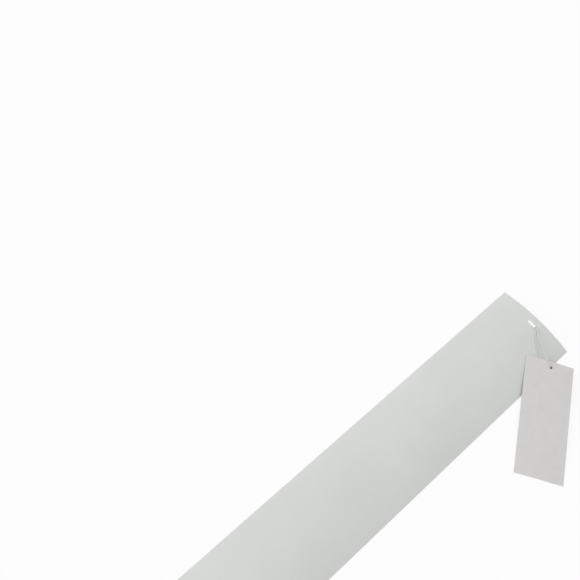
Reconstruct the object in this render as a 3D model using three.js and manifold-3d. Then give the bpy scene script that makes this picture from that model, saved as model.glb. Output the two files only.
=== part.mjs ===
// Vertical blind vane in white PVC, with its blank hang tag tied through the hanger slot.
// The vane lies as it comes to rest on a floor: bowed side up, on its two long edges.
// Sizes are in millimetres. +X runs along the vane to the end it hangs from, +Y is across it and
// +Z is up. The origin is on the floor, under the middle of the vane.

import * as THREE from "three";
import { mergeVertices } from "three/addons/utils/BufferGeometryUtils.js";
import Module from "manifold-3d";

// The vane: one extruded strip, cut square at both ends
const VANE_LENGTH = 2096;
const VANE_WIDTH = 89;
const VANE_WALL = 0.9;
const VANE_BOW = 5.4;
const BOW_FACETS = 32;
const LIP_FACETS = 6;

// The hanger slot, punched through the strip near its top end
const SLOT_LENGTH = 12;
const SLOT_WIDTH = 3.5;
const SLOT_FROM_END = 9.8;
const SLOT_END_FACETS = 10;

// The hang tag: a plain card with one punched hole
const TAG_LENGTH = 132.5;
const TAG_WIDTH = 52;
const TAG_CARD = 0.45;
const TAG_HOLE_DIAMETER = 3;
const TAG_HOLE_FROM_TOP = 7;
const TAG_HOLE_OFF_MIDDLE = 1.4;
const TAG_HOLE_FACETS = 12;
const TAG_HEADING = THREE.MathUtils.degToRad(33.8);

// Where the tag's hole lies, seen from the middle of the slot
const TAG_HOLE_BACK_FROM_SLOT = 24;
const TAG_HOLE_RIGHT_OF_SLOT = 45;

// The tie: a thread doubled through the tag, and the cross bar that both its ends are moulded into
const THREAD_DIAMETER = 0.9;
const THREAD_SIDES = 8;
const THREAD_STEPS = 78;
const BAR_LENGTH = 12;
const BAR_DIAMETER = 1.8;
const BAR_FACETS = 16;
const STEM_DIAMETER = 2.8;
const STEM_TOP = 3.4;
const STEM_FACETS = 20;

// The gap kept where one piece rests on another
const SEAT_GAP = 0.3;

// The route of the tie's thread, chosen by hand: along X and Y from the middle of the slot, and
// up from the floor. It rises from the bar through the slot, crosses the vane and the tag's top
// edge, turns down through the tag's hole, and comes back under the tag to the slot and the bar.
const THREAD_ROUTE = [
  [-0.6, -5.0, 3.7],
  [-0.6, -5.0, 5.95],
  [-0.78, -5.24, 7.05],
  [-1.26, -5.88, 7.86],
  [-1.92, -6.76, 8.15],
  [-4.3, -9.8, 8.15],
  [-7.1, -13.6, 7.95],
  [-11.1, -20.3, 7.5],
  [-16.35, -28.9, 7.2],
  [-20.8, -36.4, 7.45],
  [-22.7, -40.3, 7.75],
  [-23.67, -42.82, 7.8],
  [-23.86, -44.1, 7.38],
  [-23.98, -44.89, 6.28],
  [-23.98, -44.89, 4.92],
  [-23.86, -44.1, 3.82],
  [-23.67, -42.82, 3.4],
  [-23.6, -40.6, 3.35],
  [-23.8, -37.6, 3.6],
  [-24.1, -34.6, 4.0],
  [-24.2, -31.6, 4.4],
  [-23.4, -28.6, 4.85],
  [-19.9, -22.6, 5.75],
  [-15.9, -17.2, 6.3],
  [-11.1, -12.3, 6.75],
  [-6.2, -8.2, 7.4],
  [-2.56, -5.18, 7.86],
  [-1.77, -4.53, 7.6],
  [-1.22, -4.08, 6.92],
  [-1.0, -3.9, 5.85],
  [-1.0, -3.9, 3.7],
];

const WHITE_PVC = new THREE.MeshStandardMaterial({ color: 0xd6d8d4, roughness: 0.42, metalness: 0 });
const WHITE_CARD = new THREE.MeshStandardMaterial({ color: 0xd2d0ce, roughness: 0.75, metalness: 0 });
const CLEAR_NYLON = new THREE.MeshStandardMaterial({ color: 0xdadcda, roughness: 0.25, metalness: 0 });

const wasm = await Module();
wasm.setup();

// A geometry's positions alone, with shared corners merged, as a closed solid.
function solidOf(geometry) {
  const bare = geometry.clone();
  bare.deleteAttribute("normal");
  bare.deleteAttribute("uv");
  const merged = mergeVertices(bare, 1e-4);
  return new wasm.Manifold(
    new wasm.Mesh({
      numProp: 3,
      vertProperties: merged.attributes.position.array,
      triVerts: new Uint32Array(merged.index.array),
    }),
  );
}

// A solid as a geometry that a mesh can show.
function geometryOf(solid) {
  const { vertProperties, triVerts } = solid.getMesh();
  const geometry = new THREE.BufferGeometry();
  geometry.setAttribute("position", new THREE.BufferAttribute(vertProperties, 3));
  geometry.setIndex(new THREE.BufferAttribute(triVerts, 1));
  geometry.computeVertexNormals();
  return geometry;
}

// The strip's middle surface is part of a cylinder. Its long edges are rounded to the wall's
// thickness, so each rounding is centred half a wall in from the side and half a wall up.
const EDGE_OUT = (VANE_WIDTH - VANE_WALL) / 2;
const BOW_RADIUS = (EDGE_OUT ** 2 + VANE_BOW ** 2) / (2 * VANE_BOW);
const BOW_HALF_ANGLE = Math.asin(EDGE_OUT / BOW_RADIUS);
const BOW_CENTRE_Z = VANE_WALL / 2 + VANE_BOW - BOW_RADIUS;
const SLOT_X = VANE_LENGTH / 2 - SLOT_FROM_END;

// Height of the vane's bowed upper face at a distance y from its middle line.
function faceHeight(y) {
  return BOW_CENTRE_Z + Math.sqrt((BOW_RADIUS + VANE_WALL / 2) ** 2 - y ** 2);
}

// Points on an arc, both ends included.
function arc(centreX, centreY, radius, from, to, facets) {
  return Array.from({ length: facets + 1 }, (_, i) => {
    const angle = from + ((to - from) * i) / facets;
    return new THREE.Vector2(centreX + radius * Math.cos(angle), centreY + radius * Math.sin(angle));
  });
}

// The strip's cross-section: upper face, rounded edge, lower face, rounded edge.
function vaneSection() {
  const up = Math.PI / 2;
  const right = up - BOW_HALF_ANGLE;
  const left = up + BOW_HALF_ANGLE;
  const lip = VANE_WALL / 2;
  const edgeZ = VANE_WALL / 2;
  const outer = arc(0, BOW_CENTRE_Z, BOW_RADIUS + lip, right, left, BOW_FACETS);
  const leftLip = arc(-EDGE_OUT, edgeZ, lip, left, left + Math.PI, LIP_FACETS);
  const inner = arc(0, BOW_CENTRE_Z, BOW_RADIUS - lip, left, right, BOW_FACETS);
  const rightLip = arc(EDGE_OUT, edgeZ, lip, right + Math.PI, right + 2 * Math.PI, LIP_FACETS);
  const joined = [outer, leftLip, inner, rightLip].flatMap((points) => points.slice(0, -1));
  return new THREE.Shape(joined);
}

// A slot with full round ends, long way across the vane, as a plug that goes right through it.
function slotPlug() {
  const endRadius = SLOT_WIDTH / 2;
  const endOut = SLOT_LENGTH / 2 - endRadius;
  const height = 2 * (VANE_BOW + VANE_WALL);
  const outline = new THREE.Shape([
    ...arc(0, endOut, endRadius, 0, Math.PI, SLOT_END_FACETS),
    ...arc(0, -endOut, endRadius, Math.PI, 2 * Math.PI, SLOT_END_FACETS),
  ]);
  const plug = new THREE.ExtrudeGeometry(outline, { depth: height, bevelEnabled: false });
  plug.translate(SLOT_X, 0, 0);
  return plug;
}

function makeVane() {
  const strip = new THREE.ExtrudeGeometry(vaneSection(), { depth: VANE_LENGTH, bevelEnabled: false });
  strip.translate(0, 0, -VANE_LENGTH / 2);
  // The section is drawn across and up, and the strip runs along X.
  const acrossUpAlong = new THREE.Matrix4().makeBasis(
    new THREE.Vector3(0, 1, 0),
    new THREE.Vector3(0, 0, 1),
    new THREE.Vector3(1, 0, 0),
  );
  strip.applyMatrix4(acrossUpAlong);
  const vane = new THREE.Mesh(geometryOf(solidOf(strip).subtract(solidOf(slotPlug()))), WHITE_PVC);
  vane.name = "vane";
  return vane;
}

// The tag's foot edge lies on the floor and its top left corner leans on the vane's upper face.
function makeTag() {
  const outline = new THREE.Shape([
    new THREE.Vector2(0, -TAG_WIDTH / 2),
    new THREE.Vector2(TAG_LENGTH, -TAG_WIDTH / 2),
    new THREE.Vector2(TAG_LENGTH, TAG_WIDTH / 2),
    new THREE.Vector2(0, TAG_WIDTH / 2),
  ]);
  const holeUp = TAG_LENGTH - TAG_HOLE_FROM_TOP;
  const hole = new THREE.Path();
  hole.absarc(holeUp, -TAG_HOLE_OFF_MIDDLE, TAG_HOLE_DIAMETER / 2, 0, 2 * Math.PI, true);
  outline.holes.push(hole);
  const card = new THREE.ExtrudeGeometry(outline, {
    depth: TAG_CARD,
    bevelEnabled: false,
    curveSegments: TAG_HOLE_FACETS,
  });
  const tag = new THREE.Mesh(card, WHITE_CARD);
  tag.name = "hang_tag";

  const zAxis = new THREE.Vector3(0, 0, 1);
  const footToHole = new THREE.Vector3(holeUp, -TAG_HOLE_OFF_MIDDLE, 0).applyAxisAngle(zAxis, TAG_HEADING);
  const holeToCorner = new THREE.Vector3(
    TAG_HOLE_FROM_TOP,
    TAG_WIDTH / 2 + TAG_HOLE_OFF_MIDDLE,
    0,
  ).applyAxisAngle(zAxis, TAG_HEADING);
  const cornerHeight = faceHeight(holeToCorner.y - TAG_HOLE_RIGHT_OF_SLOT) + SEAT_GAP;

  const placed = new THREE.Group();
  placed.position.set(SLOT_X - TAG_HOLE_BACK_FROM_SLOT, -TAG_HOLE_RIGHT_OF_SLOT, 0).sub(footToHole);
  placed.rotation.z = TAG_HEADING;
  tag.rotation.y = -Math.asin(cornerHeight / TAG_LENGTH);
  placed.add(tag);
  return placed;
}

// The thread is a tube of even thickness along its route.
function makeThread() {
  const route = new THREE.CatmullRomCurve3(
    THREAD_ROUTE.map(([x, y, z]) => new THREE.Vector3(SLOT_X + x, y, z)),
    false,
    "centripetal",
  );
  const section = new THREE.Shape(arc(0, 0, THREAD_DIAMETER / 2, 0, 2 * Math.PI, THREAD_SIDES).slice(0, -1));
  const tube = new THREE.ExtrudeGeometry(section, { steps: THREAD_STEPS, extrudePath: route });
  const thread = new THREE.Mesh(tube, CLEAR_NYLON);
  thread.name = "tag_loop";
  return thread;
}

// The cross bar lies on the floor under the slot, across it, and is too long to pull through.
// A round stem on its middle holds both ends of the thread.
function makeBar() {
  const first = THREAD_ROUTE[0];
  const last = THREAD_ROUTE[THREAD_ROUTE.length - 1];
  const middleX = (first[0] + last[0]) / 2;
  const middleY = (first[1] + last[1]) / 2;
  const bar = new THREE.CylinderGeometry(BAR_DIAMETER / 2, BAR_DIAMETER / 2, BAR_LENGTH, BAR_FACETS);
  bar.rotateZ(Math.PI / 2);
  bar.translate(0, 0, BAR_DIAMETER / 2);
  const stemFoot = BAR_DIAMETER / 2;
  const stem = new THREE.CylinderGeometry(
    STEM_DIAMETER / 2,
    STEM_DIAMETER / 2,
    STEM_TOP - stemFoot,
    STEM_FACETS,
  );
  stem.rotateX(Math.PI / 2);
  stem.translate(0, 0, (STEM_TOP + stemFoot) / 2);
  const toggle = new THREE.Mesh(geometryOf(solidOf(bar).add(solidOf(stem))), CLEAR_NYLON);
  toggle.name = "loop_bar";
  toggle.position.set(SLOT_X + middleX, middleY, 0);
  return toggle;
}

const group = new THREE.Group();
group.add(makeVane(), makeTag(), makeThread(), makeBar());

export default group;
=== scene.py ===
import math

import bmesh
import bpy
from mathutils import Matrix, Vector


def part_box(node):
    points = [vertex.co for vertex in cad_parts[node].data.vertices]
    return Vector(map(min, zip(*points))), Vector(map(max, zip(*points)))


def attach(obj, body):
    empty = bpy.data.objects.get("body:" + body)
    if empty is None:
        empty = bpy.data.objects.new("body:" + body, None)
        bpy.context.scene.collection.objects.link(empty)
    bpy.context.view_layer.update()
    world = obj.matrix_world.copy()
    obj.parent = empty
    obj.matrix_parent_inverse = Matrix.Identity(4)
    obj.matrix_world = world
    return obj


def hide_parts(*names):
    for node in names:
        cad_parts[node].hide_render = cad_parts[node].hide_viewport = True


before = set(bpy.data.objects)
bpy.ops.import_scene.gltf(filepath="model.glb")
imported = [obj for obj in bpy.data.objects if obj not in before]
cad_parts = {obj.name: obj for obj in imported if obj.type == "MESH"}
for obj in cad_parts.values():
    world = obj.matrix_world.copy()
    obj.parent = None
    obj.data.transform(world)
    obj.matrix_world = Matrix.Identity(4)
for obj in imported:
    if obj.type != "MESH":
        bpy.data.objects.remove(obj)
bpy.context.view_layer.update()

# A vertical blind vane in white PVC lies bowed side up on a pale floor, with a blank card tag tied
# through its hanger slot. Everything is in metres, and MM turns a size in millimetres into metres.
MM = 0.001

# The vane, at the sizes of its solid
VANE_LOW, VANE_HIGH = (Vector(corner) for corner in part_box("vane"))
VANE_LENGTH = VANE_HIGH.x - VANE_LOW.x
VANE_WIDTH = VANE_HIGH.y - VANE_LOW.y
VANE_WALL = 0.9 * MM
VANE_BOW = VANE_HIGH.z - VANE_LOW.z - VANE_WALL
EDGE_OUT = (VANE_WIDTH - VANE_WALL) / 2
BOW_RADIUS = (EDGE_OUT ** 2 + VANE_BOW ** 2) / (2 * VANE_BOW)
CROWN_HEIGHT = VANE_LOW.z + VANE_WALL / 2 + VANE_BOW

# Just under half the wall, so that each long edge ends in a full round
SIDE_ROUND = 0.44 * MM
SIDE_ROUND_STEPS = 5

# The hanger slot
SLOT_LENGTH = 12 * MM
SLOT_WIDTH = 3.5 * MM
SLOT_X = VANE_HIGH.x - 9.8 * MM

# The blank tag: a card that leans from the floor up on to the vane's right edge, and its hole
TAG_LENGTH = 132.5 * MM
TAG_WIDTH = 52 * MM
TAG_CARD = 0.45 * MM
TAG_CROWN = 0.5 * MM
TAG_HOLE_DIAMETER = 3 * MM
TAG_HOLE_FROM_TOP = 7 * MM
TAG_HOLE_OFF_MIDDLE = 1.4 * MM
TAG_HOLE_BACK_FROM_SLOT = 24 * MM
TAG_HOLE_RIGHT_OF_SLOT = 45 * MM
TAG_HEADING = math.radians(33.8)
SEAT_GAP = 0.3 * MM

# The rings of faces round an opening, from the sheet's own lines in to the rim
RING_SHARES = (0.55, 0.25, 0.08, 0.0)

# How far the sharpness is taken off the cut edges
VANE_EDGE_SOFT = 0.12 * MM
TAG_EDGE_SOFT = 0.06 * MM

# The tie's cross bar, and the radius and height up its boss, in millimetres
BAR_LENGTH = 12 * MM
BAR_DIAMETER = 1.8 * MM
BAR_END_ROUND = 0.55 * MM
BAR_SIDES = 32
BAR_GRAIN = 0.12 * MM
BOSS_PROFILE_MM = [
    (0.7, 0.3),
    (1.15, 0.5),
    (1.4, 0.95),
    (1.4, 2.9),
    (1.32, 3.25),
    (1.1, 3.4),
]

# The tie's thread, and its route from the bar through the slot, over the vane and the tag's top
# edge, down through the tag's hole and back: along X and Y from the middle of the slot, and up
THREAD_DIAMETER = 0.9 * MM
THREAD_SIDES = 14
THREAD_STEPS_PER_SPAN = 6
THREAD_ROUTE_MM = [
    (-0.6, -5.0, 3.7),
    (-0.6, -5.0, 5.95),
    (-0.78, -5.24, 7.05),
    (-1.26, -5.88, 7.86),
    (-1.92, -6.76, 8.15),
    (-4.3, -9.8, 8.15),
    (-7.1, -13.6, 7.95),
    (-11.1, -20.3, 7.5),
    (-16.35, -28.9, 7.2),
    (-20.8, -36.4, 7.45),
    (-22.7, -40.3, 7.75),
    (-23.67, -42.82, 7.8),
    (-23.86, -44.1, 7.38),
    (-23.98, -44.89, 6.28),
    (-23.98, -44.89, 4.92),
    (-23.86, -44.1, 3.82),
    (-23.67, -42.82, 3.4),
    (-23.6, -40.6, 3.35),
    (-23.8, -37.6, 3.6),
    (-24.1, -34.6, 4.0),
    (-24.2, -31.6, 4.4),
    (-23.4, -28.6, 4.85),
    (-19.9, -22.6, 5.75),
    (-15.9, -17.2, 6.3),
    (-11.1, -12.3, 6.75),
    (-6.2, -8.2, 7.4),
    (-2.56, -5.18, 7.86),
    (-1.77, -4.53, 7.6),
    (-1.22, -4.08, 6.92),
    (-1.0, -3.9, 5.85),
    (-1.0, -3.9, 3.7),
]

# The camera: where it stands and looks, and how far it is turned about its own line of sight
CAMERA_PLACE = Vector((0.1294, -0.0925, 1.1306))
CAMERA_AIM = Vector((0.8577, 0.1858, 0.006))
CAMERA_ROLL = math.radians(27.5)
SENSOR_WIDTH = 36.0
FOCAL_LENGTH = 85.87


def face_height(across):
    """The height of the vane's upper face, at a distance across from its middle line."""
    lift = math.sqrt((BOW_RADIUS + VANE_WALL / 2) ** 2 - across ** 2)
    return CROWN_HEIGHT - BOW_RADIUS + lift


def tag_placing():
    """Turns and moves a card that is flat at the origin, its foot on the Y axis, to where the tag lies.

    Its foot rests on the floor and its top left corner on the vane, and its hole is where the tie
    passes through.
    """
    heading = Matrix.Rotation(TAG_HEADING, 4, "Z")
    foot_to_hole = heading @ Vector((TAG_LENGTH - TAG_HOLE_FROM_TOP, -TAG_HOLE_OFF_MIDDLE, 0))
    hole_to_corner = heading @ Vector((TAG_HOLE_FROM_TOP, TAG_WIDTH / 2 + TAG_HOLE_OFF_MIDDLE, 0))
    corner_height = face_height(hole_to_corner.y - TAG_HOLE_RIGHT_OF_SLOT) + SEAT_GAP
    lean = Matrix.Rotation(-math.asin(corner_height / TAG_LENGTH), 4, "Y")
    hole_place = Vector((SLOT_X - TAG_HOLE_BACK_FROM_SLOT, -TAG_HOLE_RIGHT_OF_SLOT, 0))
    return Matrix.Translation(hole_place - foot_to_hole) @ heading @ lean


def place_camera():
    data = bpy.data.cameras.new("camera")
    data.sensor_fit = "HORIZONTAL"
    data.sensor_width = SENSOR_WIDTH
    data.lens = FOCAL_LENGTH
    camera = bpy.data.objects.new("camera", data)
    bpy.context.collection.objects.link(camera)
    camera.location = CAMERA_PLACE
    level = (CAMERA_AIM - CAMERA_PLACE).to_track_quat("-Z", "Y").to_matrix().to_4x4()
    turned = level @ Matrix.Rotation(CAMERA_ROLL, 4, "Z")
    camera.rotation_euler = turned.to_euler()
    bpy.context.scene.camera = camera


# Small tools for shapes


def new_object(name, mesh, material):
    piece = bpy.data.objects.new(name, mesh)
    bpy.context.collection.objects.link(piece)
    mesh.materials.clear()
    mesh.materials.append(material)
    return piece


def rounded_route(points, per_span):
    """Points on a smooth curve through the given ones, a centripetal Catmull-Rom spline."""
    padded = [2 * points[0] - points[1], *points, 2 * points[-1] - points[-2]]
    smooth = []
    for p0, p1, p2, p3 in zip(padded, padded[1:], padded[2:], padded[3:]):
        d0, d1, d2 = ((b - a).length ** 0.5 for a, b in ((p0, p1), (p1, p2), (p2, p3)))
        t1 = ((p1 - p0) / d0 - (p2 - p0) / (d0 + d1) + (p2 - p1) / d1) * d1
        t2 = ((p2 - p1) / d1 - (p3 - p1) / (d1 + d2) + (p3 - p2) / d2) * d1
        for step in range(per_span):
            u = step / per_span
            bend = (2 * t1 + t2 - 3 * (p2 - p1)) * -u ** 2 + (t1 + t2 - 2 * (p2 - p1)) * u ** 3
            smooth.append(p1 + t1 * u + bend)
    smooth.append(points[-1].copy())
    return smooth


def shade_smooth(mesh, sharp_degrees):
    mesh.shade_smooth()
    mesh.set_sharp_from_angle(angle=math.radians(sharp_degrees))


def apply_modifiers(piece):
    """Turns the piece and its modifiers into a plain mesh."""
    graph = bpy.context.evaluated_depsgraph_get()
    done = bpy.data.meshes.new_from_object(piece.evaluated_get(graph))
    piece.modifiers.clear()
    piece.data = done


# Small tools for nodes and materials


class Nodes:
    """A short way to add nodes to a tree and join them."""

    def __init__(self, tree):
        self.tree = tree
        self.tree.nodes.clear()

    def add(self, kind, inputs=(), **settings):
        node = self.tree.nodes.new(kind)
        for name, value in settings.items():
            setattr(node, name, value)
        for socket, value in dict(inputs).items():
            if isinstance(value, bpy.types.NodeSocket):
                self.join(value, node.inputs[socket])
            else:
                node.inputs[socket].default_value = value
        return node

    def join(self, output, socket):
        self.tree.links.new(output, socket)

    def maths(self, operation, first, second=0.0):
        return self.add("ShaderNodeMath", {0: first, 1: second}, operation=operation).outputs[0]

    def stretch(self, value, low, high, to_low=0.0, to_high=1.0):
        """The value moved from one range to another, and held at its ends."""
        sizes = {"Value": value, "From Min": low, "From Max": high, "To Min": to_low, "To Max": to_high}
        return self.add("ShaderNodeMapRange", sizes).outputs["Result"]

    def noise(self, where, scale, detail=2.0, roughness=0.5, distortion=0.0):
        sizes = {"Vector": where, "Scale": scale, "Detail": detail, "Roughness": roughness}
        return self.add("ShaderNodeTexNoise", {**sizes, "Distortion": distortion}).outputs["Fac"]

    def scaled(self, where, scale):
        return self.add("ShaderNodeMapping", {"Vector": where, "Scale": scale}).outputs[0]

    def blend(self, share, first, second):
        """The first colour, with a share of the second laid over it."""
        node = self.add("ShaderNodeMix", {"Factor": share}, data_type="RGBA")
        for socket, colour in (("A_Color", first), ("B_Color", second)):
            entry = next(one for one in node.inputs if one.identifier == socket)
            if isinstance(colour, bpy.types.NodeSocket):
                self.join(colour, entry)
            else:
                entry.default_value = (*colour, 1)
        return next(one for one in node.outputs if one.identifier == "Result_Color")

    def bump(self, height, strength, distance, under=None):
        sizes = {"Height": height, "Strength": strength, "Distance": distance}
        if under is not None:
            sizes["Normal"] = under
        return self.add("ShaderNodeBump", sizes).outputs[0]

    def finish(self, **settings):
        """The surface itself, with its constant values set on its own sockets."""
        surface = self.add("ShaderNodeBsdfPrincipled", settings)
        self.add("ShaderNodeOutputMaterial", {"Surface": surface.outputs[0]})


def new_material(name):
    material = bpy.data.materials.new(name)
    material.use_nodes = True
    return material, Nodes(material.node_tree)


def linear(red, green, blue):
    """A colour given in the 0 to 255 values of a screen, as the shader takes it."""
    return tuple(
        (c / 255 / 12.92) if c / 255 <= 0.04045 else ((c / 255 + 0.055) / 1.055) ** 2.4
        for c in (red, green, blue)
    )


# Materials

PVC_LIGHT = linear(217, 219, 216)
PVC_DARK = linear(213, 215, 211)
PVC_STRESSED = linear(229, 231, 229)
CARD_LIGHT = linear(217, 215, 213)
CARD_DARK = linear(212, 210, 208)
NYLON_LIGHT = linear(238, 240, 238)
NYLON_DARK = linear(222, 225, 222)


def white_pvc():
    """Extruded white PVC: a satin skin with faint die lines, whitened a little where it was cut."""
    material, nodes = new_material("white_pvc")
    where = nodes.add("ShaderNodeTexCoord").outputs["Object"]
    broad_lines = nodes.noise(nodes.scaled(where, (2, 260, 260)), 1.0, 3.0, 0.6)
    fine_lines = nodes.noise(nodes.scaled(where, (9, 1500, 1500)), 1.0, 2.0, 0.6)
    clouds = nodes.noise(where, 14.0, 3.0)
    peel = nodes.noise(where, 900.0, 2.0)
    scuffs = nodes.stretch(nodes.noise(nodes.scaled(where, (22, 70, 70)), 1.0, 6.0, 0.7), 0.62, 0.7)

    spot = nodes.add("ShaderNodeSeparateXYZ", {0: where}).outputs
    from_end = nodes.maths("SUBTRACT", VANE_LENGTH / 2, nodes.maths("ABSOLUTE", spot["X"]))
    slot_reach = (SLOT_LENGTH - SLOT_WIDTH) / 2
    past_reach = nodes.maths("SUBTRACT", nodes.maths("ABSOLUTE", spot["Y"]), slot_reach)
    beside_slot = nodes.maths("ABSOLUTE", nodes.maths("SUBTRACT", spot["X"], SLOT_X))
    reach = nodes.maths("MAXIMUM", past_reach, 0.0)
    from_core = nodes.maths(
        "SQRT",
        nodes.maths("ADD", nodes.maths("POWER", reach, 2.0), nodes.maths("POWER", beside_slot, 2.0)),
    )
    from_slot = nodes.maths("SUBTRACT", from_core, SLOT_WIDTH / 2)
    from_cut = nodes.maths("MINIMUM", from_end, from_slot)
    ragged = nodes.maths("ADD", from_cut, nodes.stretch(peel, 0.3, 0.7, -0.15 * MM, 0.15 * MM))
    stressed = nodes.stretch(ragged, 0.15 * MM, 0.8 * MM, 0.8, 0.0)

    skin = nodes.blend(nodes.stretch(clouds, 0.3, 0.7), PVC_DARK, PVC_LIGHT)
    lined = nodes.stretch(broad_lines, 0.3, 0.7, 0.5, 0.6)
    dulled = nodes.maths("ADD", lined, nodes.maths("MULTIPLY", scuffs, 0.1))
    roughness = nodes.maths("ADD", dulled, nodes.maths("MULTIPLY", stressed, 0.15))
    surface = nodes.bump(peel, 0.1, 0.05 * MM)
    surface = nodes.bump(broad_lines, 0.25, 0.08 * MM, surface)
    surface = nodes.bump(fine_lines, 0.12, 0.04 * MM, surface)
    nodes.finish(
        **{
            "Base Color": nodes.blend(stressed, skin, PVC_STRESSED),
            "Roughness": roughness,
            "Normal": surface,
            "IOR": 1.53,
            "Specular IOR Level": 0.25,
        }
    )
    return material


def white_card():
    """Uncoated card: matt, with fine fibres and a little mottling."""
    material, nodes = new_material("white_card")
    where = nodes.add("ShaderNodeTexCoord").outputs["Object"]
    mottle = nodes.noise(where, 90.0, 5.0, 0.6)
    fibre = nodes.noise(where, 1600.0, 3.0, 0.7, 1.5)
    specks = nodes.stretch(nodes.noise(where, 2600.0, 2.0), 0.68, 0.74)
    pulp = nodes.blend(nodes.stretch(mottle, 0.3, 0.7), CARD_DARK, CARD_LIGHT)
    nodes.finish(
        **{
            "Base Color": nodes.blend(nodes.maths("MULTIPLY", specks, 0.12), pulp, NYLON_DARK),
            "Roughness": nodes.stretch(fibre, 0.3, 0.7, 0.66, 0.82),
            "Normal": nodes.bump(fibre, 0.3, 0.04 * MM),
            "Specular IOR Level": 0.25,
        }
    )
    return material


def drawn_nylon():
    """Milky clear nylon thread, with faint drawing lines that run along it."""
    material, nodes = new_material("drawn_nylon")
    section = nodes.add("ShaderNodeAttribute", attribute_name="thread_section").outputs["Vector"]
    along = nodes.add("ShaderNodeAttribute", attribute_name="thread_along").outputs["Fac"]
    on_thread = nodes.add("ShaderNodeSeparateXYZ", {0: section}).outputs
    unrolled = nodes.add(
        "ShaderNodeCombineXYZ",
        {
            "X": nodes.maths("MULTIPLY", on_thread["X"], 1.6),
            "Y": nodes.maths("MULTIPLY", on_thread["Y"], 1.6),
            "Z": nodes.maths("MULTIPLY", along, 12.0),
        },
    ).outputs[0]
    lines_along = nodes.noise(unrolled, 1.0, 3.0, 0.6)
    milk = nodes.noise(nodes.scaled(unrolled, (0.2, 0.2, 2)), 1.0, 2.0)
    nodes.finish(
        **{
            "Base Color": nodes.blend(nodes.stretch(milk, 0.3, 0.7), NYLON_DARK, NYLON_LIGHT),
            "Roughness": nodes.stretch(lines_along, 0.3, 0.7, 0.36, 0.44),
            "Normal": nodes.bump(lines_along, 0.03, 0.03 * MM),
            "IOR": 1.53,
            "Transmission Weight": 0.5,
        }
    )
    return material


def moulded_nylon():
    """The same nylon as it comes from a mould: milky, with a faintly matt skin."""
    material, nodes = new_material("moulded_nylon")
    where = nodes.add("ShaderNodeTexCoord").outputs["Object"]
    cloud = nodes.noise(where, 260.0, 2.0)
    grain = nodes.noise(where, 2400.0, 2.0)
    nodes.finish(
        **{
            "Base Color": nodes.blend(nodes.stretch(cloud, 0.3, 0.7), NYLON_DARK, NYLON_LIGHT),
            "Roughness": nodes.stretch(grain, 0.3, 0.7, 0.3, 0.42),
            "Normal": nodes.bump(grain, 0.15, 0.03 * MM),
            "IOR": 1.53,
            "Transmission Weight": 0.4,
        }
    )
    return material


def footprint(nodes, where, middle, turn, length, width, soft):
    """One inside a rectangle on the floor, falling to nothing at its edges."""
    placed = nodes.add(
        "ShaderNodeMapping",
        {
            "Vector": where,
            "Location": (*middle, 0),
            "Rotation": (0, 0, turn),
            "Scale": (length / 2, width / 2, 1),
        },
        vector_type="TEXTURE",
    ).outputs[0]
    on_floor = nodes.add("ShaderNodeSeparateXYZ", {0: placed}).outputs
    inside = [
        nodes.stretch(nodes.maths("ABSOLUTE", on_floor[axis]), 1 - 2 * soft / size, 1.0, 1.0, 0.0)
        for axis, size in (("X", length), ("Y", width))
    ]
    return nodes.maths("MULTIPLY", *inside)


def seen_rays(nodes):
    """One for the rays by which the camera sees a thing straight on, mirrored or through another."""
    ray = nodes.add("ShaderNodeLightPath").outputs
    seen = nodes.maths("MAXIMUM", ray["Is Camera Ray"], ray["Is Glossy Ray"])
    return nodes.maths("MAXIMUM", seen, ray["Is Transmission Ray"])


def white_floor():
    """A white floor that the camera sees nearly as bright as paper, with soft shade on it.

    Where the slot shows it, a patch of it glows brighter: painted light, as that floor lies in the
    vane's shade.
    It has no glow of its own under the tag, and where the tag's hole shows it, a patch of it is painted
    dark: painted shade.
    """
    material, nodes = new_material("white_floor")
    where = nodes.add("ShaderNodeTexCoord").outputs["Object"]
    tag_middle = tag_placing() @ Vector((TAG_LENGTH / 2, 0, 0))
    under_tag = footprint(nodes, where, tag_middle.xy, TAG_HEADING, TAG_LENGTH, TAG_WIDTH, PATCH_SOFT)
    # Painted light: the floor under the slot glows brighter, though it lies in the vane's shade
    slot_middle = (SLOT_X + SLOT_LIGHT_PATCH_SHIFT[0], SLOT_LIGHT_PATCH_SHIFT[1])
    slot_light_patch = footprint(nodes, where, slot_middle, 0, *SLOT_LIGHT_PATCH_SIZE, PATCH_SOFT)
    glow_share = nodes.stretch(slot_light_patch, 0.0, 1.0, FLOOR_GLOW_SHARE, SLOT_GLOW_SHARE)
    glow_share = nodes.maths("MULTIPLY", glow_share, nodes.maths("SUBTRACT", 1.0, under_tag))
    share = nodes.maths("MULTIPLY", seen_rays(nodes), glow_share)
    # Painted shade: a dark patch on the floor under the tag's hole, which the camera sees through the
    # hole
    hole_x = SLOT_X - TAG_HOLE_BACK_FROM_SLOT
    hole_middle = (hole_x + HOLE_SHADE_PATCH_SHIFT, -TAG_HOLE_RIGHT_OF_SLOT)
    hole_shade_patch = footprint(nodes, where, hole_middle, 0, *HOLE_SHADE_PATCH_SIZE, PATCH_SOFT)
    colour = nodes.blend(hole_shade_patch, FLOOR_WHITE, PAINTED_FLOOR_SHADE)
    painted = nodes.add("ShaderNodeBsdfDiffuse", {"Color": colour})
    glow = nodes.add("ShaderNodeEmission", {"Color": (1, 1, 1, 1), "Strength": 1.0})
    mixed = nodes.add("ShaderNodeMixShader", {"Fac": share, 1: painted.outputs[0], 2: glow.outputs[0]})
    nodes.add("ShaderNodeOutputMaterial", {"Surface": mixed.outputs[0]})
    return material


# Sheets with an opening, for the vane and for the tag


def lines(*spans):
    """Places from one span to the next; each span is its start, its end and its number of steps."""
    places = [spans[0][0]]
    for start, end, steps in spans:
        places += [start + (end - start) * (i + 1) / steps for i in range(steps)]
    return places


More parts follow.
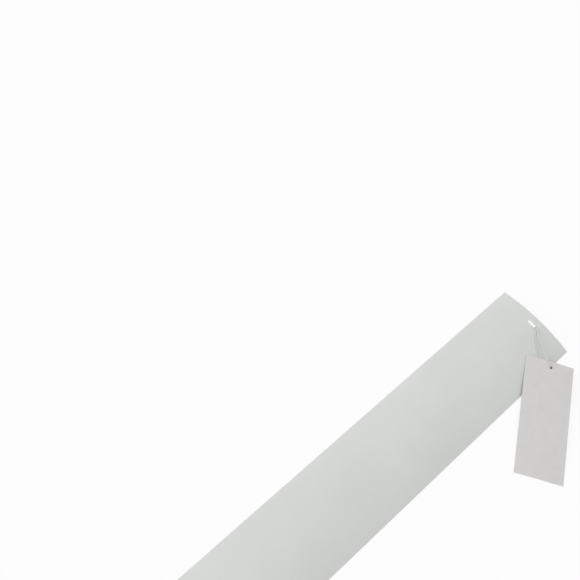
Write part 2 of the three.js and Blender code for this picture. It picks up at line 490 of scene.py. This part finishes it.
def flat_sheet(name, along, across, patch, middle, rim_point):
    """A sheet at height zero, divided at the given lines, with rings of faces round an opening.

    The patch gives the lines between which the opening lies, and rim_point finds the point of the
    opening's rim for a place that is seen from its middle.
    """
    (x_low, x_high), (y_low, y_high) = patch
    sheet = bmesh.new()
    grid = {}

    def corner(i, j):
        if (i, j) not in grid:
            grid[i, j] = sheet.verts.new((along[i], across[j], 0))
        return grid[i, j]

    for i in range(len(along) - 1):
        for j in range(len(across) - 1):
            if not (x_low <= i < x_high and y_low <= j < y_high):
                steps = ((i, j), (i + 1, j), (i + 1, j + 1), (i, j + 1))
                sheet.faces.new([corner(*step) for step in steps])

    border = [(i, y_low) for i in range(x_low, x_high)]
    border += [(x_high, j) for j in range(y_low, y_high)]
    border += [(i, y_high) for i in range(x_high, x_low, -1)]
    border += [(x_low, j) for j in range(y_high, y_low, -1)]
    outer = [corner(i, j) for i, j in border]
    for share in RING_SHARES:
        inner = []
        for i, j in border:
            place = Vector((along[i], across[j])) - middle
            at = middle + rim_point(place).lerp(place, share)
            inner.append(sheet.verts.new((at.x, at.y, 0)))
        for k in range(len(border)):
            after = (k + 1) % len(border)
            sheet.faces.new((outer[k], outer[after], inner[after], inner[k]))
        outer = inner
    mesh = bpy.data.meshes.new(name)
    sheet.to_mesh(mesh)
    sheet.free()
    return mesh


def bowing_tree():
    """Geometry Nodes that bow a flat sheet round a cylinder along X and give it a wall."""
    tree = bpy.data.node_groups.new("bow_and_thicken", "GeometryNodeTree")
    sockets = tree.interface
    sockets.new_socket("Geometry", in_out="INPUT", socket_type="NodeSocketGeometry")
    for name in ("Bow Radius", "Crown Height", "Wall"):
        sockets.new_socket(name, in_out="INPUT", socket_type="NodeSocketFloat")
    sockets.new_socket("Material", in_out="INPUT", socket_type="NodeSocketMaterial")
    sockets.new_socket("Geometry", in_out="OUTPUT", socket_type="NodeSocketGeometry")
    build = Nodes(tree)
    given = build.add("NodeGroupInput").outputs
    radius, crown, wall = given["Bow Radius"], given["Crown Height"], given["Wall"]
    flat = build.add("ShaderNodeSeparateXYZ", {0: build.add("GeometryNodeInputPosition").outputs[0]})
    lower_radius = build.maths("SUBTRACT", radius, build.maths("MULTIPLY", wall, 0.5))
    turn = build.maths("DIVIDE", flat.outputs["Y"], radius)
    centre = build.maths("SUBTRACT", crown, radius)
    cosine = build.maths("COSINE", turn)
    bowed = build.add(
        "ShaderNodeCombineXYZ",
        {
            "X": flat.outputs["X"],
            "Y": build.maths("MULTIPLY", lower_radius, build.maths("SINE", turn)),
            "Z": build.maths("ADD", centre, build.maths("MULTIPLY", lower_radius, cosine)),
        },
    )
    lower = build.add(
        "GeometryNodeSetPosition", {"Geometry": given["Geometry"], "Position": bowed.outputs[0]}
    ).outputs[0]
    raised = build.add(
        "GeometryNodeExtrudeMesh", {"Mesh": lower, "Offset Scale": wall, "Individual": False}
    )
    joined = build.add("GeometryNodeJoinGeometry")
    build.join(build.add("GeometryNodeFlipFaces", {"Mesh": lower}).outputs[0], joined.inputs[0])
    build.join(raised.outputs["Mesh"], joined.inputs[0])
    whole = build.add(
        "GeometryNodeMergeByDistance", {"Geometry": joined.outputs[0], "Distance": 0.001 * MM}
    )
    real = build.add("GeometryNodeRealizeInstances", {"Geometry": whole.outputs[0]})
    painted = build.add(
        "GeometryNodeSetMaterial", {"Geometry": real.outputs[0], "Material": given["Material"]}
    )
    build.add("NodeGroupOutput", {0: painted.outputs[0]})
    return tree


def set_inputs(modifier, tree, values):
    modifier.node_group = tree
    for socket in tree.interface.items_tree:
        if socket.in_out == "INPUT" and socket.name in values:
            modifier[socket.identifier] = values[socket.name]


def bow_sheet(piece, tree, radius, crown, wall, material):
    """Bows a flat sheet and gives it its wall."""
    set_inputs(
        piece.modifiers.new("bow", "NODES"),
        tree,
        {"Bow Radius": radius, "Crown Height": crown, "Wall": wall, "Material": material},
    )
    apply_modifiers(piece)


def soften_edges(piece, edge_round):
    """Takes the sharpness off a sheet's cut edges."""
    soften = piece.modifiers.new("soften", "BEVEL")
    soften.width = edge_round
    soften.segments = 2
    soften.limit_method = "ANGLE"
    soften.angle_limit = math.radians(50)
    apply_modifiers(piece)
    shade_smooth(piece.data, 40)


# The vane


def slot_rim(place):
    """The point of the slot's round-ended rim that is nearest to a place."""
    radius = SLOT_WIDTH / 2
    reach = SLOT_LENGTH / 2 - radius
    core = Vector((0, max(-reach, min(reach, place.y))))
    return core + (place - core).normalized() * radius


def round_long_edges(mesh):
    """Turns the vane's two square-cut long edges into full rounds."""
    shape = bmesh.new()
    shape.from_mesh(mesh)
    square = []
    for edge in shape.edges:
        ends = [corner.co for corner in edge.verts]
        at_side = min(abs(place.y) for place in ends) > EDGE_OUT - VANE_WALL
        lengthways = abs((ends[1] - ends[0]).normalized().x) > 0.99
        if at_side and lengthways and edge.calc_face_angle(0) > math.radians(60):
            square.append(edge)
    bmesh.ops.bevel(
        shape,
        geom=square,
        offset=SIDE_ROUND,
        segments=SIDE_ROUND_STEPS,
        profile=0.5,
        affect="EDGES",
    )
    shape.to_mesh(mesh)
    shape.free()


def make_vane(tree, material):
    """The extruded strip with its punched slot, square-cut at both ends."""
    end = VANE_LENGTH / 2
    half = BOW_RADIUS * math.asin(EDGE_OUT / BOW_RADIUS) + SIDE_ROUND
    patch_x, patch_y = 7 * MM, 10 * MM
    trim, side_trim = 0.4 * MM, 0.8 * MM
    length_steps, slot_steps_along = 110, 14
    flank_steps, slot_steps_across = 17, 20
    along = lines(
        (-end, trim - end, 1),
        (trim - end, SLOT_X - patch_x, length_steps),
        (SLOT_X - patch_x, SLOT_X + patch_x, slot_steps_along),
        (SLOT_X + patch_x, end - trim, 2),
        (end - trim, end, 1),
    )
    across = lines(
        (-half, side_trim - half, 1),
        (side_trim - half, -patch_y, flank_steps),
        (-patch_y, patch_y, slot_steps_across),
        (patch_y, half - side_trim, flank_steps),
        (half - side_trim, half, 1),
    )
    patch = (
        (1 + length_steps, 1 + length_steps + slot_steps_along),
        (1 + flank_steps, 1 + flank_steps + slot_steps_across),
    )
    sheet = flat_sheet("vane_strip", along, across, patch, Vector((SLOT_X, 0)), slot_rim)
    piece = new_object("vane_strip", sheet, material)
    bow_sheet(piece, tree, BOW_RADIUS, CROWN_HEIGHT, VANE_WALL, material)
    round_long_edges(piece.data)
    soften_edges(piece, VANE_EDGE_SOFT)
    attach(piece, "root")
    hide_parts("vane")


# The tag and its tie


def hole_rim(place):
    """The point of the tag's punched hole that is nearest to a place."""
    return place.normalized() * (TAG_HOLE_DIAMETER / 2)


def make_tag(tree, material):
    """A die-cut card, a little crowned, leaning from the floor up on to the vane's edge."""
    hole = Vector((TAG_LENGTH - TAG_HOLE_FROM_TOP, -TAG_HOLE_OFF_MIDDLE))
    half = TAG_WIDTH / 2
    reach = 3 * MM
    trim = 0.3 * MM
    length_steps, side_steps, hole_steps = 40, 8, 12
    along = lines(
        (0, trim, 1),
        (trim, hole.x - reach, length_steps),
        (hole.x - reach, hole.x + reach, hole_steps),
        (hole.x + reach, TAG_LENGTH - trim, 2),
        (TAG_LENGTH - trim, TAG_LENGTH, 1),
    )
    across = lines(
        (-half, trim - half, 1),
        (trim - half, hole.y - reach, side_steps),
        (hole.y - reach, hole.y + reach, hole_steps),
        (hole.y + reach, half - trim, side_steps),
        (half - trim, half, 1),
    )
    patch = (
        (1 + length_steps, 1 + length_steps + hole_steps),
        (1 + side_steps, 1 + side_steps + hole_steps),
    )
    sheet = flat_sheet("tag_card", along, across, patch, hole, hole_rim)
    piece = new_object("tag_card", sheet, material)
    radius = (half ** 2 + TAG_CROWN ** 2) / (2 * TAG_CROWN)
    bow_sheet(piece, tree, radius, TAG_CROWN + TAG_CARD / 2, TAG_CARD, material)
    soften_edges(piece, TAG_EDGE_SOFT)
    piece.data.transform(tag_placing())
    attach(piece, "root")
    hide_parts("hang_tag")


def thread_tree():
    """Geometry Nodes that draw a line out into a round thread, and note how far along each point is."""
    tree = bpy.data.node_groups.new("draw_thread", "GeometryNodeTree")
    sockets = tree.interface
    sockets.new_socket("Geometry", in_out="INPUT", socket_type="NodeSocketGeometry")
    sockets.new_socket("Thickness", in_out="INPUT", socket_type="NodeSocketFloat")
    sockets.new_socket("Sides", in_out="INPUT", socket_type="NodeSocketInt")
    sockets.new_socket("Material", in_out="INPUT", socket_type="NodeSocketMaterial")
    sockets.new_socket("Geometry", in_out="OUTPUT", socket_type="NodeSocketGeometry")
    build = Nodes(tree)
    given = build.add("NodeGroupInput").outputs
    route = build.add("GeometryNodeMeshToCurve", {"Mesh": given["Geometry"]}).outputs[0]
    far = build.add("GeometryNodeSplineParameter").outputs["Length"]
    marked = build.add(
        "GeometryNodeStoreNamedAttribute",
        {"Geometry": route, "Name": "thread_along", "Value": far},
        data_type="FLOAT",
        domain="POINT",
    ).outputs[0]
    radius = build.maths("MULTIPLY", given["Thickness"], 0.5)
    ring = build.add(
        "GeometryNodeCurvePrimitiveCircle", {"Resolution": given["Sides"], "Radius": radius}
    ).outputs[0]
    place = build.add("GeometryNodeInputPosition").outputs[0]
    place_on_ring = build.add(
        "ShaderNodeVectorMath",
        {0: place, "Scale": build.maths("DIVIDE", 1.0, radius)},
        operation="SCALE",
    ).outputs[0]
    section = build.add(
        "GeometryNodeStoreNamedAttribute",
        {"Geometry": ring, "Name": "thread_section", "Value": place_on_ring},
        data_type="FLOAT_VECTOR",
        domain="POINT",
    ).outputs[0]
    tube = build.add(
        "GeometryNodeCurveToMesh", {"Curve": marked, "Profile Curve": section, "Fill Caps": True}
    ).outputs[0]
    real = build.add("GeometryNodeRealizeInstances", {"Geometry": tube})
    painted = build.add(
        "GeometryNodeSetMaterial", {"Geometry": real.outputs[0], "Material": given["Material"]}
    )
    build.add("NodeGroupOutput", {0: painted.outputs[0]})
    return tree


def make_thread(material):
    """The nylon thread, and the points that it follows."""
    corners = [Vector((SLOT_X + x * MM, y * MM, z * MM)) for x, y, z in THREAD_ROUTE_MM]
    route = rounded_route(corners, THREAD_STEPS_PER_SPAN)
    mesh = bpy.data.meshes.new("tie_thread")
    mesh.from_pydata(route, [(i, i + 1) for i in range(len(route) - 1)], [])
    piece = new_object("tie_thread", mesh, material)
    set_inputs(
        piece.modifiers.new("draw", "NODES"),
        thread_tree(),
        {"Thickness": THREAD_DIAMETER, "Sides": THREAD_SIDES, "Material": material},
    )
    apply_modifiers(piece)
    shade_smooth(piece.data, 50)
    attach(piece, "root")
    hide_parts("tag_loop")
    return piece, route


def turned_shape(shape, profile, sides, placing):
    """Adds a closed shape turned about its own axis; each profile point is a radius and a height."""
    rings = []
    for radius, height in profile:
        ring = []
        for k in range(sides):
            angle = 2 * math.pi * k / sides
            at = Vector((radius * math.cos(angle), radius * math.sin(angle), height))
            ring.append(shape.verts.new(placing @ at))
        rings.append(ring)
    for low, high in zip(rings, rings[1:]):
        for k in range(sides):
            n = (k + 1) % sides
            shape.faces.new((low[k], low[n], high[n], high[k]))
    shape.faces.new(reversed(rings[0]))
    shape.faces.new(rings[-1])


def make_bar(material):
    """The moulded cross bar that stops the tie in the slot, with the boss under the thread's ends."""
    first, last = THREAD_ROUTE_MM[0], THREAD_ROUTE_MM[-1]
    foot = Vector((SLOT_X + (first[0] + last[0]) / 2 * MM, (first[1] + last[1]) / 2 * MM, 0))
    radius, half = BAR_DIAMETER / 2, BAR_LENGTH / 2
    core, straight = radius - BAR_END_ROUND, half - BAR_END_ROUND
    tip = [
        (core + BAR_END_ROUND * math.cos(a), straight + BAR_END_ROUND * math.sin(a))
        for a in (math.radians(15 * step) for step in range(7))
    ]
    bar_profile = [(r, -h) for r, h in reversed(tip)] + tip
    boss_profile = [(r * MM, z * MM) for r, z in BOSS_PROFILE_MM]
    shape = bmesh.new()
    lying = Matrix.Translation(foot + Vector((0, 0, radius))) @ Matrix.Rotation(math.pi / 2, 4, "Y")
    turned_shape(shape, bar_profile, BAR_SIDES, lying)
    turned_shape(shape, boss_profile, BAR_SIDES, Matrix.Translation(foot))
    mesh = bpy.data.meshes.new("tie_bar")
    shape.to_mesh(mesh)
    shape.free()
    piece = new_object("tie_bar", mesh, material)
    moulded = piece.modifiers.new("moulded", "REMESH")
    moulded.mode = "VOXEL"
    moulded.voxel_size = BAR_GRAIN
    moulded.use_smooth_shade = True
    rounded = piece.modifiers.new("rounded", "SMOOTH")
    rounded.factor = 0.5
    rounded.iterations = 4
    apply_modifiers(piece)
    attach(piece, "root")
    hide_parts("loop_bar")
    return piece


# Stage


# The light's shares of a plain level: a low lamp from beyond the vane's left edge, a high one from
# beyond its slotted end, and an even sky. The sky that is seen is as bright as the floor, so that
# no edge shows where they meet
LOW_LAMP = {"share": 0.21, "tilt": math.radians(65), "azimuth": math.radians(135)}
HIGH_LAMP = {"share": 0.143, "tilt": math.radians(20), "azimuth": math.radians(0)}
LAMP_SOFTNESS = math.radians(50)
SKY_SHARE = 0.56
SKY_SEEN = 0.98
FLOOR_GLOW_SHARE = 0.85
# Painted light: the brighter glow where the slot shows the floor, though the vane shades it
SLOT_GLOW_SHARE = 0.97
FLOOR_WHITE = (0.95, 0.95, 0.95)
# The colour of the painted shade on the floor under the tag's hole
PAINTED_FLOOR_SHADE = (0.15, 0.15, 0.15)
FLOOR_HALF_SIZE = 12.0

# The patches of floor that the camera sees through the slot and through the tag's hole. Under the slot
# the floor glows brighter, which is painted light, and under the hole it is painted dark, which is
# painted shade. They lie a little past the openings, because the camera looks down aslant
SLOT_LIGHT_PATCH_SHIFT = (3 * MM, 1.5 * MM)
SLOT_LIGHT_PATCH_SIZE = (16 * MM, 20 * MM)
HOLE_SHADE_PATCH_SHIFT = 4.5 * MM
HOLE_SHADE_PATCH_SIZE = (9 * MM, 9 * MM)
PATCH_SOFT = 3 * MM


def add_sun(name, share, tilt, azimuth):
    """A soft lamp far away, tilted from overhead towards an azimuth, with its share of the light."""
    data = bpy.data.lights.new(name, "SUN")
    data.energy = math.pi * share / math.cos(tilt)
    data.angle = LAMP_SOFTNESS
    lamp = bpy.data.objects.new(name, data)
    bpy.context.collection.objects.link(lamp)
    source = Vector(
        (math.sin(tilt) * math.cos(azimuth), math.sin(tilt) * math.sin(azimuth), math.cos(tilt))
    )
    lamp.rotation_euler = source.to_track_quat("Z", "Y").to_euler()


def light_scene():
    bpy.context.scene.view_settings.view_transform = "Standard"
    world = bpy.data.worlds.new("soft_sky")
    bpy.context.scene.world = world
    world.use_nodes = True
    nodes = Nodes(world.node_tree)
    strength = nodes.stretch(seen_rays(nodes), 0.0, 1.0, SKY_SHARE, SKY_SEEN)
    sky = nodes.add("ShaderNodeBackground", {"Color": (1, 1, 1, 1), "Strength": strength})
    nodes.add("ShaderNodeOutputWorld", {"Surface": sky.outputs[0]})
    add_sun("low_lamp", **LOW_LAMP)
    add_sun("high_lamp", **HIGH_LAMP)


def make_floor():
    size = FLOOR_HALF_SIZE
    mesh = bpy.data.meshes.new("floor")
    corners = [(-size, -size, 0), (size, -size, 0), (size, size, 0), (-size, size, 0)]
    mesh.from_pydata(corners, [], [(0, 1, 2, 3)])
    floor = new_object("floor", mesh, white_floor())


place_camera()
thread, thread_route = make_thread(drawn_nylon())
bar = make_bar(moulded_nylon())
BOW_AND_THICKEN = bowing_tree()
make_vane(BOW_AND_THICKEN, white_pvc())
make_tag(BOW_AND_THICKEN, white_card())
make_floor()
light_scene()
